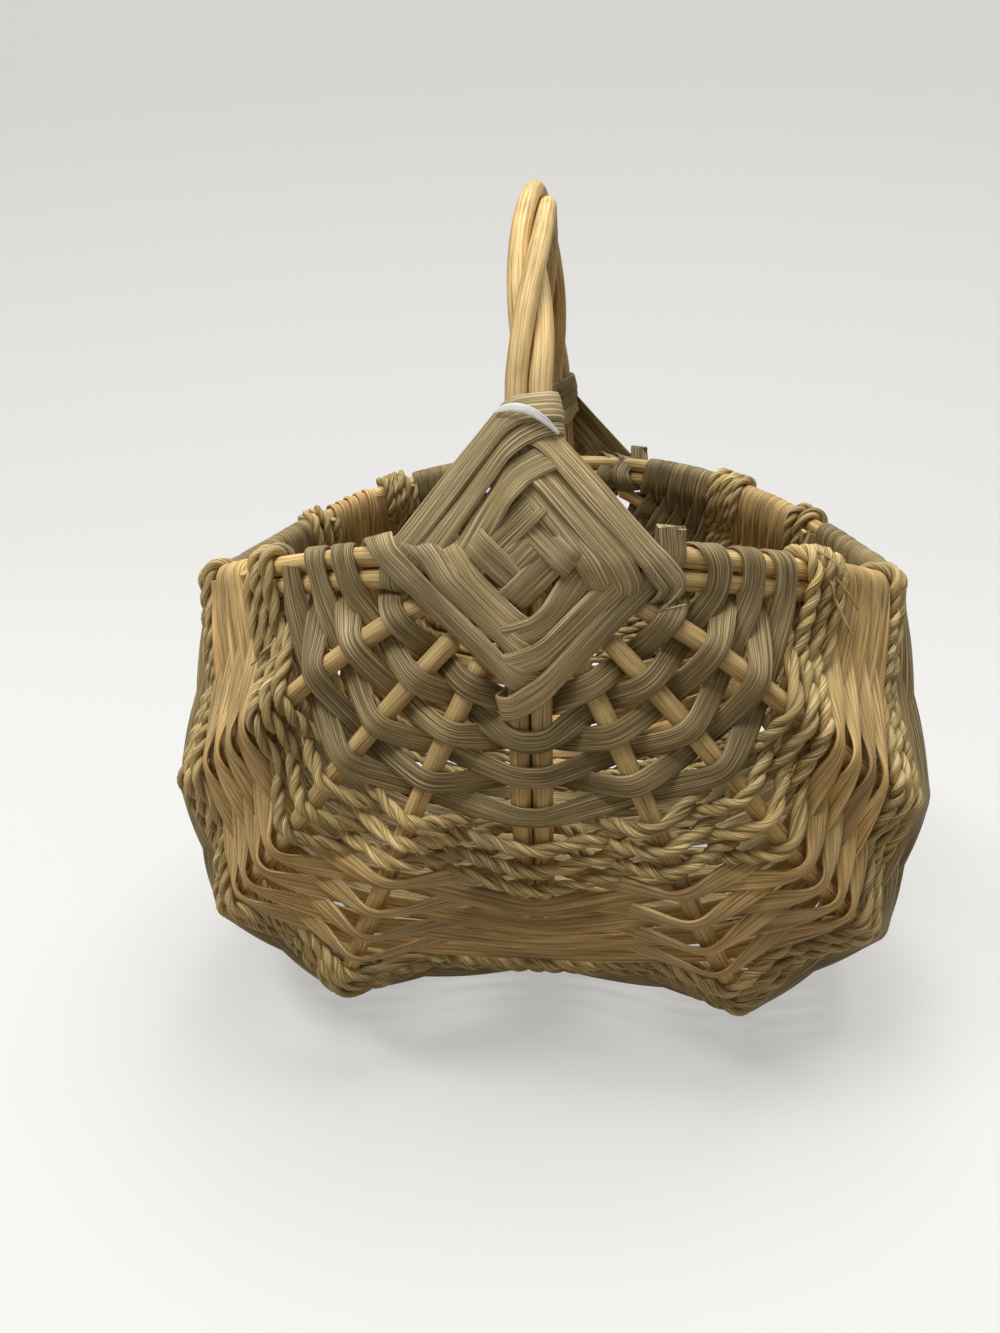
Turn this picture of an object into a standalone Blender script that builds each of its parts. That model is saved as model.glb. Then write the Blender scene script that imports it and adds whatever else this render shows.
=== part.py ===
"""Ribbed split reed basket: hoop handle, double rim, six ribs, two diamond lashings and woven bands.

X runs across the basket, Y runs from the near end to the far end under the handle, Z is up.
Shapes are worked out about the level of the ears, where the handle meets the rim,
and then lifted so that the two lowest lobes of the bowl stand on Z = 0.
"""

import math

import bpy
from mathutils import Vector

# Round reed stock and the air between pieces that touch
HANDLE_REED_DIAMETER = 0.005
RIM_REED_DIAMETER = 0.005
RIB_DIAMETER = 0.005
CLEARANCE = 0.0003

# The three handle reeds run on under the bowl as its keel, so they are closed hoops
HOOP_HALF_LENGTH = 0.105
HANDLE_RISE = 0.087
KEEL_DEPTH = 0.1475
HANDLE_SQUARENESS_SHARE = 2.2
KEEL_SQUARENESS_SHARE = 2.06
HANDLE_TWIST_TURNS = 1.0
TWIST_BUNCHING_SHARE = 0.8
TWIST_MARGIN = 0.004
THIRD_REED_EASE = 0.024
HANDLE_LEAN = 0.004
HANDLE_LEAN_POWER_SHARE = 1.6

# The rim is two reeds, one on the other, that sag towards the sides
RIM_HALF_WIDTH = 0.1038
RIM_SAG = 0.024
RIM_SQUARENESS_SHARE = 2.08
RIM_SAG_POWER_SHARE = 2.5

# Each rib has its reach to the side, its depth below the ears, its setback, its squareness and its bow upwards
RIB_REACHES = (0.1134, 0.1042, 0.0663)
RIB_DEPTHS = (0.0822, 0.1244, 0.1512)
RIB_SETBACKS = (0.0055, 0.0037, 0.0020)
RIB_SQUARENESS_SHARES = (2.5, 2.65, 2.66)
RIB_BOWS = (0.0084, 0.0036, 0.0019)
RIB_TIP_REACH = 0.024

# The diamond lashings: reach along each arm and the wall of split reed over it
LASHING_RIM_REACH = 0.033
LASHING_HANDLE_REACH = 0.037
LASHING_KEEL_REACH = 0.038
LASHING_WALL = 0.0013
LASHING_RING_SHARES = (0.3, 0.65, 1.0)

# The woven bands: borders as shares of half of each rail, from the ear to the middle
BAND_THICKNESS = 0.0016
RIM_BORDER_SHARES = (0.395, 0.476, 0.632, 0.711)
RIB_BORDER_SHARES = (
    (0.333, 0.413, 0.547, 0.622),
    (0.299, 0.428, 0.574, 0.655),
    (0.298, 0.383, 0.569, 0.650),
)
KEEL_BORDER_SHARES = (0.323, 0.434, 0.623, 0.685)
RIM_START_GAP = 0.0035
RIB_START_GAPS = (0.0046, 0.0035, 0.0046)
KEEL_START_GAP = 0.0025
BEND_SHARE = 1.1
WAIST_SAG_SHARE = 0.16
SHOULDER_TILT = math.radians(25)
FOOT_FLAT_DEPTH = 0.001

# The pale strip that is tucked in over the top of the near lashing
STRIP_HALF_WIDTH = 0.0062
STRIP_HEIGHT = 0.0018
STRIP_THICKNESS = 0.0009
STRIP_ARCH_SHARE = 0.6

# How finely the shapes are divided
CURVE_SAMPLES = 400
REED_SIDES = 8
HANDLE_STEPS = 28
EAR_STEPS = 4
BAND_STEPS = (2, 2, 2, 1)
MIDDLE_HALF_STEPS = 4
STRIP_STEPS = 8

# Sizes that follow from the ones above
HANDLE_PITCH = HANDLE_REED_DIAMETER + CLEARANCE
HANDLE_SPREAD = HANDLE_PITCH / math.sqrt(3)
FRONT_PAIR_OFFSET = HANDLE_SPREAD / 2
CROSSING_PITCH = (HANDLE_REED_DIAMETER + RIM_REED_DIAMETER) / 2 + CLEARANCE
RIM_HALF_STACK = (RIM_REED_DIAMETER + CLEARANCE) / 2
RIM_HALF_LENGTH = HOOP_HALF_LENGTH + FRONT_PAIR_OFFSET - CROSSING_PITCH
THIRD_REED_STEP = 2 * CROSSING_PITCH - FRONT_PAIR_OFFSET - HANDLE_SPREAD
THIRD_REED_FLAT = RIM_HALF_STACK + CROSSING_PITCH
PAIR_HALF_WIDTH = HANDLE_PITCH / 2 + HANDLE_REED_DIAMETER / 2
STACK_HALF_HEIGHT = RIM_HALF_STACK + RIM_REED_DIAMETER / 2
BOW_PEAK_SHARE = (1 / 3) * (2 / 3) ** 2
ACROSS = Vector((1, 0, 0))
UP = Vector((0, 0, 1))

HONEY = (0.62, 0.42, 0.20)
SMOKED = (0.19, 0.14, 0.085)
STRAW = (0.52, 0.40, 0.22)
AMBER = (0.40, 0.25, 0.11)
PALE = (0.86, 0.84, 0.76)


def power(value, exponent):
    """A signed power, for the rounded rectangles that the hoops follow."""
    return math.copysign(abs(value) ** exponent, value)


class Rail:
    """A smooth path, found by the distance run along it."""

    def __init__(self, points):
        self.points = points
        self.runs = [0.0]
        for first, second in zip(points, points[1:]):
            self.runs.append(self.runs[-1] + (second - first).length)
        self.length = self.runs[-1]
        self.half = self.length / 2

    def at(self, run):
        run = min(max(run, 0.0), self.length)
        low, high = 0, len(self.runs) - 1
        while high - low > 1:
            middle = (low + high) // 2
            if self.runs[middle] <= run:
                low = middle
            else:
                high = middle
        share = (run - self.runs[low]) / (self.runs[high] - self.runs[low])
        return self.points[low].lerp(self.points[high], share)

    def tangent(self, run):
        reach = self.length / CURVE_SAMPLES
        return (self.at(run + reach) - self.at(run - reach)).normalized()


def arch_rail(half_length, squareness, place):
    """A rail from the near ear to the far one. place gives X and Z for a share of the way out."""
    points = []
    for index in range(CURVE_SAMPLES + 1):
        angle = math.pi * index / CURVE_SAMPLES
        y = -half_length * power(math.cos(angle), 2 / squareness)
        x, z = place(max(math.sin(angle), 0.0) ** (2 / squareness))
        points.append(Vector((x, y, z)))
    return Rail(points)


def rim_rail(side):
    def place(share):
        return side * RIM_HALF_WIDTH * share, -RIM_SAG * share**RIM_SAG_POWER_SHARE

    return arch_rail(RIM_HALF_LENGTH, RIM_SQUARENESS_SHARE, place)


def keel_rail():
    return arch_rail(HOOP_HALF_LENGTH, KEEL_SQUARENESS_SHARE, lambda share: (0, -KEEL_DEPTH * share))


def handle_rail():
    return arch_rail(HOOP_HALF_LENGTH, HANDLE_SQUARENESS_SHARE, lambda share: (0, HANDLE_RISE * share))


def rib_angle(index):
    """How far a rib's plane leans below the horizontal."""
    return math.atan2(RIB_DEPTHS[index], RIB_REACHES[index])


def rib_rail(side, index):
    """A rib, with its end behind the lashing. It bows up out of its plane, most at a third of the way out."""
    reach, depth = RIB_REACHES[index], RIB_DEPTHS[index]
    size = math.hypot(reach, depth)
    tip_share = RIB_TIP_REACH / size

    def place(share):
        out = tip_share + (1 - tip_share) * share
        bow = RIB_BOWS[index] * out * (1 - out) ** 2 / BOW_PEAK_SHARE
        return side * (reach * out + bow * depth / size), bow * reach / size - depth * out

    half_length = HOOP_HALF_LENGTH - RIB_SETBACKS[index]
    return arch_rail(half_length, RIB_SQUARENESS_SHARES[index], place)


def lashing_tip_half_width():
    return PAIR_HALF_WIDTH + CLEARANCE + LASHING_WALL


def lashing_tip_half_height():
    return STACK_HALF_HEIGHT + CLEARANCE + LASHING_WALL


def lashing_edge_run(rail):
    """How far along a rib the lower edge of the diamond crosses it."""
    start = Vector((LASHING_RIM_REACH, -lashing_tip_half_height()))
    end = Vector((lashing_tip_half_width(), -LASHING_KEEL_REACH))
    normal = Vector((start.y - end.y, end.x - start.x))
    for run, point in zip(rail.runs, rail.points):
        if normal.dot(Vector((abs(point.x), point.z))) > normal.dot(start):
            return run
    return 0.0


def runs_along(start, borders, half, steps, middle_steps):
    """Distances of the stations from the ear to the middle: each band's own steps, then the middle's."""
    marks = [start] + [share * half for share in borders]
    runs = [marks[0]]
    for first, second, count in zip(marks, marks[1:], steps):
        runs += [first + (second - first) * step / count for step in range(1, count + 1)]
    last = runs[-1]
    runs += [last + (half - last) * step / middle_steps for step in range(1, middle_steps + 1)]
    return runs


def both_halves(runs, length):
    return runs + [length - run for run in reversed(runs[:-1])]


class Frame:
    """The rails of the basket with the stations where reeds and bands are set out."""

    def __init__(self):
        self.rims = {side: rim_rail(side) for side in (-1, 1)}
        self.ribs = {side: [rib_rail(side, index) for index in range(len(RIB_REACHES))] for side in (-1, 1)}
        self.keel = keel_rail()
        self.handle = handle_rail()
        rim = self.rims[1]
        self.rim_runs = self.stations(rim, LASHING_RIM_REACH + RIM_START_GAP, RIM_BORDER_SHARES)
        self.keel_runs = self.stations(self.keel, LASHING_KEEL_REACH + KEEL_START_GAP, KEEL_BORDER_SHARES)
        self.rib_runs = []
        for index, rib in enumerate(self.ribs[1]):
            start = lashing_edge_run(rib) + RIB_START_GAPS[index]
            shares = [share - RIB_TIP_REACH / rib.half * (1 - share) for share in RIB_BORDER_SHARES[index]]
            self.rib_runs.append(self.stations(rib, start, shares))

    @staticmethod
    def stations(rail, start, shares):
        return both_halves(runs_along(start, shares, rail.half, BAND_STEPS, MIDDLE_HALF_STEPS), rail.length)


def hoop_offset(rail, run, angle, inward):
    """A point of a handle reed: so far round the bundle, and so far in from it."""
    outward = rail.tangent(run).cross(ACROSS)
    if outward.dot(rail.at(run)) < 0:
        outward = -outward
    side = math.cos(angle) * HANDLE_SPREAD
    out = math.sin(angle) * HANDLE_SPREAD - inward
    return rail.at(run) + side * ACROSS + out * outward


def crossing_step(distance_to_ear):
    """How far the third reed gives way to the rim, by its distance from the ear."""
    share = (distance_to_ear - THIRD_REED_FLAT) / THIRD_REED_EASE
    share = min(max(share, 0.0), 1.0)
    return THIRD_REED_STEP * (1 - share * share * (3 - 2 * share))


def twist_angle(handle, run):
    """How far the handle reeds are turned round each other. They turn fastest near the two ears."""
    start = LASHING_HANDLE_REACH + TWIST_MARGIN
    share = (handle.length - start - run) / (handle.length - 2 * start)
    share = min(max(share, 0.0), 1.0)
    turn = 2 * math.pi * share
    return HANDLE_TWIST_TURNS * (turn + TWIST_BUNCHING_SHARE * math.sin(turn))


def handle_lean(share):
    """How far the handle leans to the left, by the share of its length from the near ear."""
    return HANDLE_LEAN * math.sin(math.pi * share**HANDLE_LEAN_POWER_SHARE)


def handle_reed_path(frame, start_angle):
    """One closed hoop: down under the bowl, then back over the handle with its twist."""
    third = start_angle > math.pi
    keel, handle = frame.keel, frame.handle
    first = frame.keel_runs[0]
    ear_runs = [first * step / EAR_STEPS for step in range(EAR_STEPS)]
    runs = ear_runs + frame.keel_runs + [keel.length - run for run in reversed(ear_runs)]
    path = []
    for run in runs:
        inward = crossing_step(min(run, keel.length - run)) if third else 0.0
        path.append(hoop_offset(keel, run, start_angle, inward))
    for step in range(1, HANDLE_STEPS):
        run = handle.length * (1 - step / HANDLE_STEPS)
        inward = crossing_step(min(run, handle.length - run)) if third else 0.0
        point = hoop_offset(handle, run, start_angle + twist_angle(handle, run), inward)
        path.append(point - handle_lean(run / handle.length) * ACROSS)
    return path


def handle_reed_paths(frame):
    return [handle_reed_path(frame, math.radians(30 + 120 * index)) for index in range(3)]


def rim_reed_path(frame, height):
    """One closed hoop of the rim, along the left side and back along the right one."""
    first = frame.rim_runs[0]
    ear_runs = [first * step / EAR_STEPS for step in range(EAR_STEPS)]
    runs = ear_runs + frame.rim_runs + [frame.rims[1].length - run for run in reversed(ear_runs)]
    left = [frame.rims[-1].at(run) for run in runs]
    right = [frame.rims[1].at(run) for run in reversed(runs)]
    return [point + height * UP for point in left + right[1:-1]]


def rib_path(frame, side, index):
    rib = frame.ribs[side][index]
    return [rib.at(run) for run in [0.0] + frame.rib_runs[index] + [rib.length]]


def tube_mesh(path, diameter, closed, reference):
    """Points and faces of a round bar along a path. Its rings are lined up by a reference direction."""
    count = len(path)
    points, faces = [], []
    for index, centre in enumerate(path):
        before = path[index - 1] if closed or index else centre
        after = path[(index + 1) % count] if closed or index < count - 1 else centre
        along = (after - before).normalized()
        first = (reference - reference.dot(along) * along).normalized()
        second = along.cross(first)
        for side in range(REED_SIDES):
            angle = 2 * math.pi * (side + 0.5) / REED_SIDES
            points.append(centre + (math.cos(angle) * first + math.sin(angle) * second) * diameter / 2)
    for index in range(count if closed else count - 1):
        here, there = index * REED_SIDES, (index + 1) % count * REED_SIDES
        for side in range(REED_SIDES):
            after = (side + 1) % REED_SIDES
            faces.append((here + side, here + after, there + after, there + side))
    if not closed:
        faces.append(tuple(reversed(range(REED_SIDES))))
        faces.append(tuple(range((count - 1) * REED_SIDES, count * REED_SIDES)))
    return points, faces


def outward(along, across):
    return along.cross(across).normalized()


def band_section(frame, station, extra):
    """The band's line across the bowl at one station, extra further out than its inner face.

    It hooks over the left rim, passes outside every rib with a bend, sags between them,
    and hooks over the right rim.
    """
    posts = []
    for side in (-1, 1):
        rim = frame.rims[side]
        run = frame.rim_runs[station]
        low = rim.at(run) - RIM_HALF_STACK * UP
        ribs = []
        for index, rib in enumerate(frame.ribs[side]):
            rib_run = frame.rib_runs[index][station]
            ribs.append((rib.at(rib_run), rib.tangent(rib_run), RIB_DIAMETER))
        keel_run = frame.keel_runs[station]
        keel_angle = math.radians(90 - side * 60)
        keel = (hoop_offset(frame.keel, keel_run, keel_angle, 0.0), frame.keel.tangent(keel_run), HANDLE_REED_DIAMETER)
        half = [(low, rim.tangent(run), RIM_REED_DIAMETER)] + ribs + [keel]
        posts += half if side < 0 else list(reversed(half))
    line = []
    last = len(posts) - 1
    middle = len(posts) // 2
    for index, (centre, along, diameter) in enumerate(posts):
        reach = (diameter / 2 + CLEARANCE) * BEND_SHARE + extra
        arms = []
        for step in (-1, 1):
            if not 0 <= index + step <= last:
                arms.append(None)
                continue
            across = (posts[index + step][0] - centre).normalized()
            normal = outward(along, across * step)
            arms.append(normal * math.cos(SHOULDER_TILT) + across * math.sin(SHOULDER_TILT))
        if index == 0:
            line += rim_hook(centre, along, reach, -1)
        elif index == middle:
            line.append(centre + reach * outward(along, centre - posts[index - 1][0]))
        else:
            line.append(centre + reach * arms[0])
        if index not in (0, middle - 1, middle, last):
            line.append(centre + reach * (arms[0] + arms[1]).normalized())
        if index == last:
            line += list(reversed(rim_hook(centre, along, reach, 1)))
            continue
        if index == middle - 1:
            line.append(centre + reach * outward(along, posts[index + 1][0] - centre))
            continue
        line.append(centre + reach * arms[1])
        following, following_along, following_diameter = posts[index + 1]
        across = following - centre
        normal = outward(along + following_along, across)
        height = (diameter / 2 + CLEARANCE) * BEND_SHARE - WAIST_SAG_SHARE * across.length / 2
        line.append((centre + following) / 2 + (height + extra) * normal)
    return line


def rim_hook(low, along, reach, side):
    """From the inside of the rim, over the upper reed and down to the outside of the lower one."""
    out = (along.cross(UP) * side).normalized()
    high = low + 2 * RIM_HALF_STACK * UP
    line = [low - reach * out]
    for quarter in (4, 3, 2, 1, 0):
        angle = math.pi * quarter / 4
        line.append(high + reach * (math.cos(angle) * out + math.sin(angle) * UP))
    line.append(low + reach * out)
    return line


def band_mesh(frame, first, last):
    """A closed shell between two stations, with a little air to the next band."""
    points, faces = [], []
    for station in range(first, last + 1):
        outer = band_section(frame, station, BAND_THICKNESS)
        inner = band_section(frame, station, 0.0)
        points.append(outer + list(reversed(inner)))
    for place, neighbour in ((0, 1), (-1, -2)):
        shifted = []
        for here, there in zip(points[place], points[neighbour]):
            shifted.append(here + (there - here).normalized() * CLEARANCE / 2)
        points[place] = shifted
    count = len(points[0])
    for ring in range(len(points) - 1):
        for index in range(count):
            after = (index + 1) % count
            here, there = ring * count, (ring + 1) * count
            faces.append((here + index, there + index, there + after, here + after))
    end = (len(points) - 1) * count
    for index in range(count // 2 - 1):
        facing = count - 1 - index
        faces.append((index, index + 1, facing - 1, facing))
        faces.append((end + index, end + facing, end + facing - 1, end + index + 1))
    return [point for ring in points for point in ring], faces


def hoop_y(half_length, size, squareness, distance):
    """How far out a hoop still is where it has run so far from the ear, seen from the end."""
    return half_length * (1 - (distance / size) ** squareness) ** (1 / squareness)


def lashing_outline(share, cover):
    """Eight points of one round of the diamond, on its outer face or, with cover below 0, its inner one."""
    wall = CLEARANCE + LASHING_WALL
    rim_x = share * LASHING_RIM_REACH
    rim_z = -RIM_SAG * (rim_x / RIM_HALF_WIDTH) ** RIM_SAG_POWER_SHARE
    tip_y = hoop_y(RIM_HALF_LENGTH, RIM_HALF_WIDTH, RIM_SQUARENESS_SHARE, LASHING_RIM_REACH)
    tip_y += math.copysign(RIM_REED_DIAMETER / 2 + wall, cover)
    crown_y = HOOP_HALF_LENGTH + FRONT_PAIR_OFFSET + HANDLE_REED_DIAMETER / 2 + wall
    if cover < 0:
        crown_y = HOOP_HALF_LENGTH - HANDLE_SPREAD - THIRD_REED_STEP - HANDLE_REED_DIAMETER / 2 - wall
    rim_y = crown_y + (tip_y - crown_y) * share
    half_height = lashing_tip_half_height()
    half_width = lashing_tip_half_width()
    top_z = share * LASHING_HANDLE_REACH
    bottom_z = share * LASHING_KEEL_REACH
    top_y = hoop_y(HOOP_HALF_LENGTH, HANDLE_RISE, HANDLE_SQUARENESS_SHARE, top_z)
    bottom_y = hoop_y(HOOP_HALF_LENGTH, KEEL_DEPTH, KEEL_SQUARENESS_SHARE, bottom_z)
    if cover > 0:
        top_y += FRONT_PAIR_OFFSET + HANDLE_REED_DIAMETER / 2 + wall
        bottom_y += FRONT_PAIR_OFFSET + HANDLE_REED_DIAMETER / 2 + wall
    else:
        inner = HANDLE_SPREAD + HANDLE_REED_DIAMETER / 2 + wall
        top_y -= inner + crossing_step(top_z)
        bottom_y -= inner + crossing_step(bottom_z)
    return [
        Vector((half_width, -top_y, top_z)),
        Vector((-half_width, -top_y, top_z)),
        Vector((-rim_x, -rim_y, rim_z + half_height)),
        Vector((-rim_x, -rim_y, rim_z - half_height)),
        Vector((-half_width, -bottom_y, -bottom_z)),
        Vector((half_width, -bottom_y, -bottom_z)),
        Vector((rim_x, -rim_y, rim_z - half_height)),
        Vector((rim_x, -rim_y, rim_z + half_height)),
    ]


def lashing_mesh():
    """The near diamond as a closed solid, before the reeds are cut out of it."""
    rounds = [lashing_outline(share, 1) for share in LASHING_RING_SHARES]
    rounds += [lashing_outline(share, -1) for share in reversed(LASHING_RING_SHARES)]
    points = [point for outline in rounds for point in outline]
    faces = []
    for ring in range(len(rounds) - 1):
        for index in range(8):
            after = (index + 1) % 8
            here, there = ring * 8, (ring + 1) * 8
            faces.append((here + index, there + index, there + after, here + after))
    for start, turn in ((0, 1), (len(points) - 8, -1)):
        for corners in ((0, 1, 4, 5), (1, 2, 3, 4), (0, 5, 6, 7)):
            faces.append(tuple(start + corner for corner in corners)[::turn])
    return points, faces


def strip_mesh():
    """A thin arched strip that lies over the top edge of the near lashing, in front of the handle."""
    edge = lashing_outline(1.0, 1)[0]
    points, faces = [], []
    base = edge.z + CLEARANCE
    front = edge.y
    for step in range(STRIP_STEPS + 1):
        share = 2 * step / STRIP_STEPS - 1
        x = STRIP_HALF_WIDTH * share
        rise = STRIP_HEIGHT * (1 - STRIP_ARCH_SHARE * share * share)
        for y in (front, front + STRIP_THICKNESS):
            points.append(Vector((x, y, base)))
            points.append(Vector((x, y, base + rise)))
    for step in range(STRIP_STEPS):
        here, there = 4 * step, 4 * step + 4
        for first, second in ((0, 1), (1, 3), (3, 2), (2, 0)):
            faces.append((here + first, there + first, there + second, here + second))
    end = 4 * STRIP_STEPS
    faces.append((0, 1, 3, 2))
    faces.append((end, end + 2, end + 3, end + 1))
    return points, faces


def mirrored(points, faces):
    """The same shape at the far end of the basket."""
    turned = [Vector((point.x, -point.y, point.z)) for point in points]
    return turned, [tuple(reversed(face)) for face in faces]


def material(name, colour, roughness):
    made = bpy.data.materials.new(name)
    made.use_nodes = True
    shader = made.node_tree.nodes["Principled BSDF"]
    shader.inputs["Base Color"].default_value = (*colour, 1)
    shader.inputs["Roughness"].default_value = roughness
    shader.inputs["Metallic"].default_value = 0
    return made


def add_object(name, points, faces, lift, colour, roughness=0.6):
    mesh = bpy.data.meshes.new(name)
    mesh.from_pydata([point + lift * UP for point in points], [], faces)
    mesh.validate()
    mesh.shade_smooth()
    mesh.set_sharp_from_angle(angle=math.radians(50))
    mesh.materials.append(material(name, colour, roughness))
    made = bpy.data.objects.new(name, mesh)
    bpy.context.scene.collection.objects.link(made)
    return made


def add_cutter(name, points, faces, lift):
    made = add_object(name, points, faces, lift, PALE)
    made.hide_render = True
    made.display_type = "WIRE"
    return made


def cut(target, cutter):
    modifier = target.modifiers.new(cutter.name, "BOOLEAN")
    modifier.operation = "DIFFERENCE"
    modifier.solver = "EXACT"
    modifier.object = cutter


def rib_name(side, index):
    return f"rib_{'left' if side < 0 else 'right'}_{('upper', 'middle', 'lower')[index]}"


def build():
    for old in list(bpy.data.objects):
        bpy.data.objects.remove(old)
    frame = Frame()
    stations = len(frame.rim_runs)
    borders = [0]
    for count in BAND_STEPS:
        borders.append(borders[-1] + count)
    middle = band_mesh(frame, borders[-1], stations - 1 - borders[-1])
    lift = -min(point.z for point in middle[0]) - FOOT_FLAT_DEPTH

    cutters = []

    def add_reed(name, path, diameter, closed, reference):
        add_object(name, *tube_mesh(path, diameter, closed, reference), lift, HONEY)
        wider = tube_mesh(path, diameter + 2 * CLEARANCE, closed, reference)
        cutters.append(add_cutter(f"{name}_clearance", *wider, lift))

    for number, path in enumerate(handle_reed_paths(frame), 1):
        add_reed(f"handle_reed_{number}", path, HANDLE_REED_DIAMETER, True, ACROSS)
    for name, height in (("rim_reed_upper", RIM_HALF_STACK), ("rim_reed_lower", -RIM_HALF_STACK)):
        add_reed(name, rim_reed_path(frame, height), RIM_REED_DIAMETER, True, UP)
    for side in (-1, 1):
        for index in range(len(RIB_REACHES)):
            plane = Vector((math.sin(rib_angle(index)), 0, side * math.cos(rib_angle(index))))
            add_reed(rib_name(side, index), rib_path(frame, side, index), RIB_DIAMETER, False, plane)

    for name, shape in (("lashing_near", lashing_mesh()), ("lashing_far", mirrored(*lashing_mesh()))):
        lashing = add_object(name, *shape, lift, SMOKED)
        for cutter in cutters:
            cut(lashing, cutter)
    add_object("white_strip", *strip_mesh(), lift, PALE)

    bands = (("smoked_weave", SMOKED), ("seagrass_weave", STRAW), ("tan_weave", AMBER), ("inner_seagrass_weave", STRAW))
    for order, (name, colour) in enumerate(bands):
        near = band_mesh(frame, borders[order], borders[order + 1])
        add_object(f"{name}_near", *near, lift, colour)
        add_object(f"{name}_far", *mirrored(*near), lift, colour)
    add_middle(middle, lift)


def add_middle(shape, lift):
    """The middle band, whose two lowest lobes are cut flat to stand on."""
    weave = add_object("smoked_middle_weave", *shape, lift, SMOKED)
    reach = 2 * RIM_HALF_WIDTH
    corners = []
    for z in (-reach, 0.0):
        corners += [Vector((x, y, z)) for x, y in ((-reach, -reach), (reach, -reach), (reach, reach), (-reach, reach))]
    sides = [(0, 1, 5, 4), (1, 2, 6, 5), (2, 3, 7, 6), (3, 0, 4, 7)]
    cut(weave, add_cutter("floor_plane", corners, [(3, 2, 1, 0), (4, 5, 6, 7)] + sides, 0.0))


build()
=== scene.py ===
"""Looks of the ribbed split reed basket: every reed, row of weaving and winding as it really runs.

Lengths are millimetres about the level of the ears, where the handle meets the rim.
X runs across the basket, Y from the near ear to the far one, Z up.
"""

import math
import random

import bpy
import numpy as np
from mathutils import Matrix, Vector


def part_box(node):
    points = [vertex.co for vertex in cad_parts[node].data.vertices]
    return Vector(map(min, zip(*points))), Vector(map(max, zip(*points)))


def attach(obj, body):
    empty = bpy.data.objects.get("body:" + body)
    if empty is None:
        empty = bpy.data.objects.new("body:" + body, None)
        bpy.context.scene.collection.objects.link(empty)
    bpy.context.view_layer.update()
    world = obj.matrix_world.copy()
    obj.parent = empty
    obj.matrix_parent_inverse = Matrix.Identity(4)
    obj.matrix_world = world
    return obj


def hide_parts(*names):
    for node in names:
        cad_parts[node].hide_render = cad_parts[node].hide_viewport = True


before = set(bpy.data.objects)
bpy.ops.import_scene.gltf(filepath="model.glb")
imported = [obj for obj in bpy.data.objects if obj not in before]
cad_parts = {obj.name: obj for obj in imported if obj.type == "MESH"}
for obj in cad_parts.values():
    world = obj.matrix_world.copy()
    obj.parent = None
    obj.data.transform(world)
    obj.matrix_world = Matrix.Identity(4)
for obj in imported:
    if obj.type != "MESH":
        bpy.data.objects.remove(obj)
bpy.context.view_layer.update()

MM = 0.001
ACROSS = np.array((1.0, 0.0, 0.0))
AHEAD = np.array((0.0, 1.0, 0.0))
UP = np.array((0.0, 0.0, 1.0))

# Round reed stock: its radius, half the distance of the two rim reeds, how far out the three handle
# reeds lie from their middle, and how many sides the solids' reeds have
REED_RADIUS = 2.5
PAIR_HALF = 2.65
HANDLE_SPREAD = 3.06
SOLID_REED_SIDES = 8

# Hoops: the handle over the ears, the keel under them, the rim beside them
HOOP_HALF_LENGTH = 105.0
HANDLE_RISE = 87.0
HANDLE_SQUARENESS = 2.2
KEEL_DEPTH = 147.5
KEEL_SQUARENESS = 2.06
RIM_HALF_LENGTH = 101.23
RIM_HALF_WIDTH = 103.8
RIM_SAG = 24.0
RIM_SQUARENESS = 2.08
RIM_SAG_POWER = 2.5

# The handle's twist, its lean to the left, and the third reed's way round the rim
HANDLE_REACH = 37.0
TWIST_MARGIN = 4.0
TWIST_BUNCHING = 0.8
HANDLE_LEAN = 4.0
HANDLE_LEAN_POWER = 1.6
THIRD_REED_STEP = 6.01
THIRD_REED_FLAT = 7.95
THIRD_REED_EASE = 24.0

# Ribs, upper, middle and lower: reach, depth, setback, squareness, bow
RIB_REACHES = (113.4, 104.2, 66.3)
RIB_DEPTHS = (82.2, 124.4, 151.2)
RIB_SETBACKS = (5.5, 3.7, 2.0)
RIB_SQUARENESS = (2.5, 2.65, 2.66)
RIB_BOWS = (8.4, 3.6, 1.9)
RIB_TIP = 24.0
RIB_ROUNDING = 1.5
BOW_PEAK = (1 / 3) * (2 / 3) ** 2

# Rows of weaving: places along rim, upper, middle and lower rib and keel, measured from the ear
ROWS_OF_SMOKED = (
    ("B", (36.0, 32.5, 31.5, 30.0, 37.0)),
    ("A", (43.7, 39.0, 38.0, 36.5, 40.3)),
    ("B", (48.0, 45.0, 45.5, 43.0, 45.5)),
    ("A", (52.0, 51.0, 53.0, 50.0, 50.1)),
    ("B", (56.5, 57.7, 59.5, 57.0, 56.5)),
    ("A", (61.0, 63.0, 66.0, 62.5, 62.4)),
)
BORDERS = (
    (65.0, 67.0, 66.6, 67.3, 66.3),
    (78.4, 83.0, 95.5, 86.5, 89.1),
    (104.0, 110.0, 128.0, 128.6, 128.0),
    (117.0, 125.0, 146.0, 147.0, 140.7),
)
OUTER_SEAGRASS_ROWS = {False: 6, True: 10}
FAR_SMOKED_ROWS = 10
TAN_ROWS = {False: 8, True: 12}
INNER_SEAGRASS_ROWS = 5
MIDDLE_ROWS = 33

# Widths and thicknesses of flat reed, and the seagrass
SMOKED_THICKNESS = 1.25
SMOKED_SIZE = (6.2, SMOKED_THICKNESS)
MIDDLE_SIZE = (7.0, SMOKED_THICKNESS)
LASHING_SIZE = (6.8, SMOKED_THICKNESS)
TAN_SIZE = (5.6, 1.3)
STRIP_SIZE = (2.0, 0.4)
ROPE_DIAMETER = 3.9
ROPE_LAY = 13.0

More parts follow.
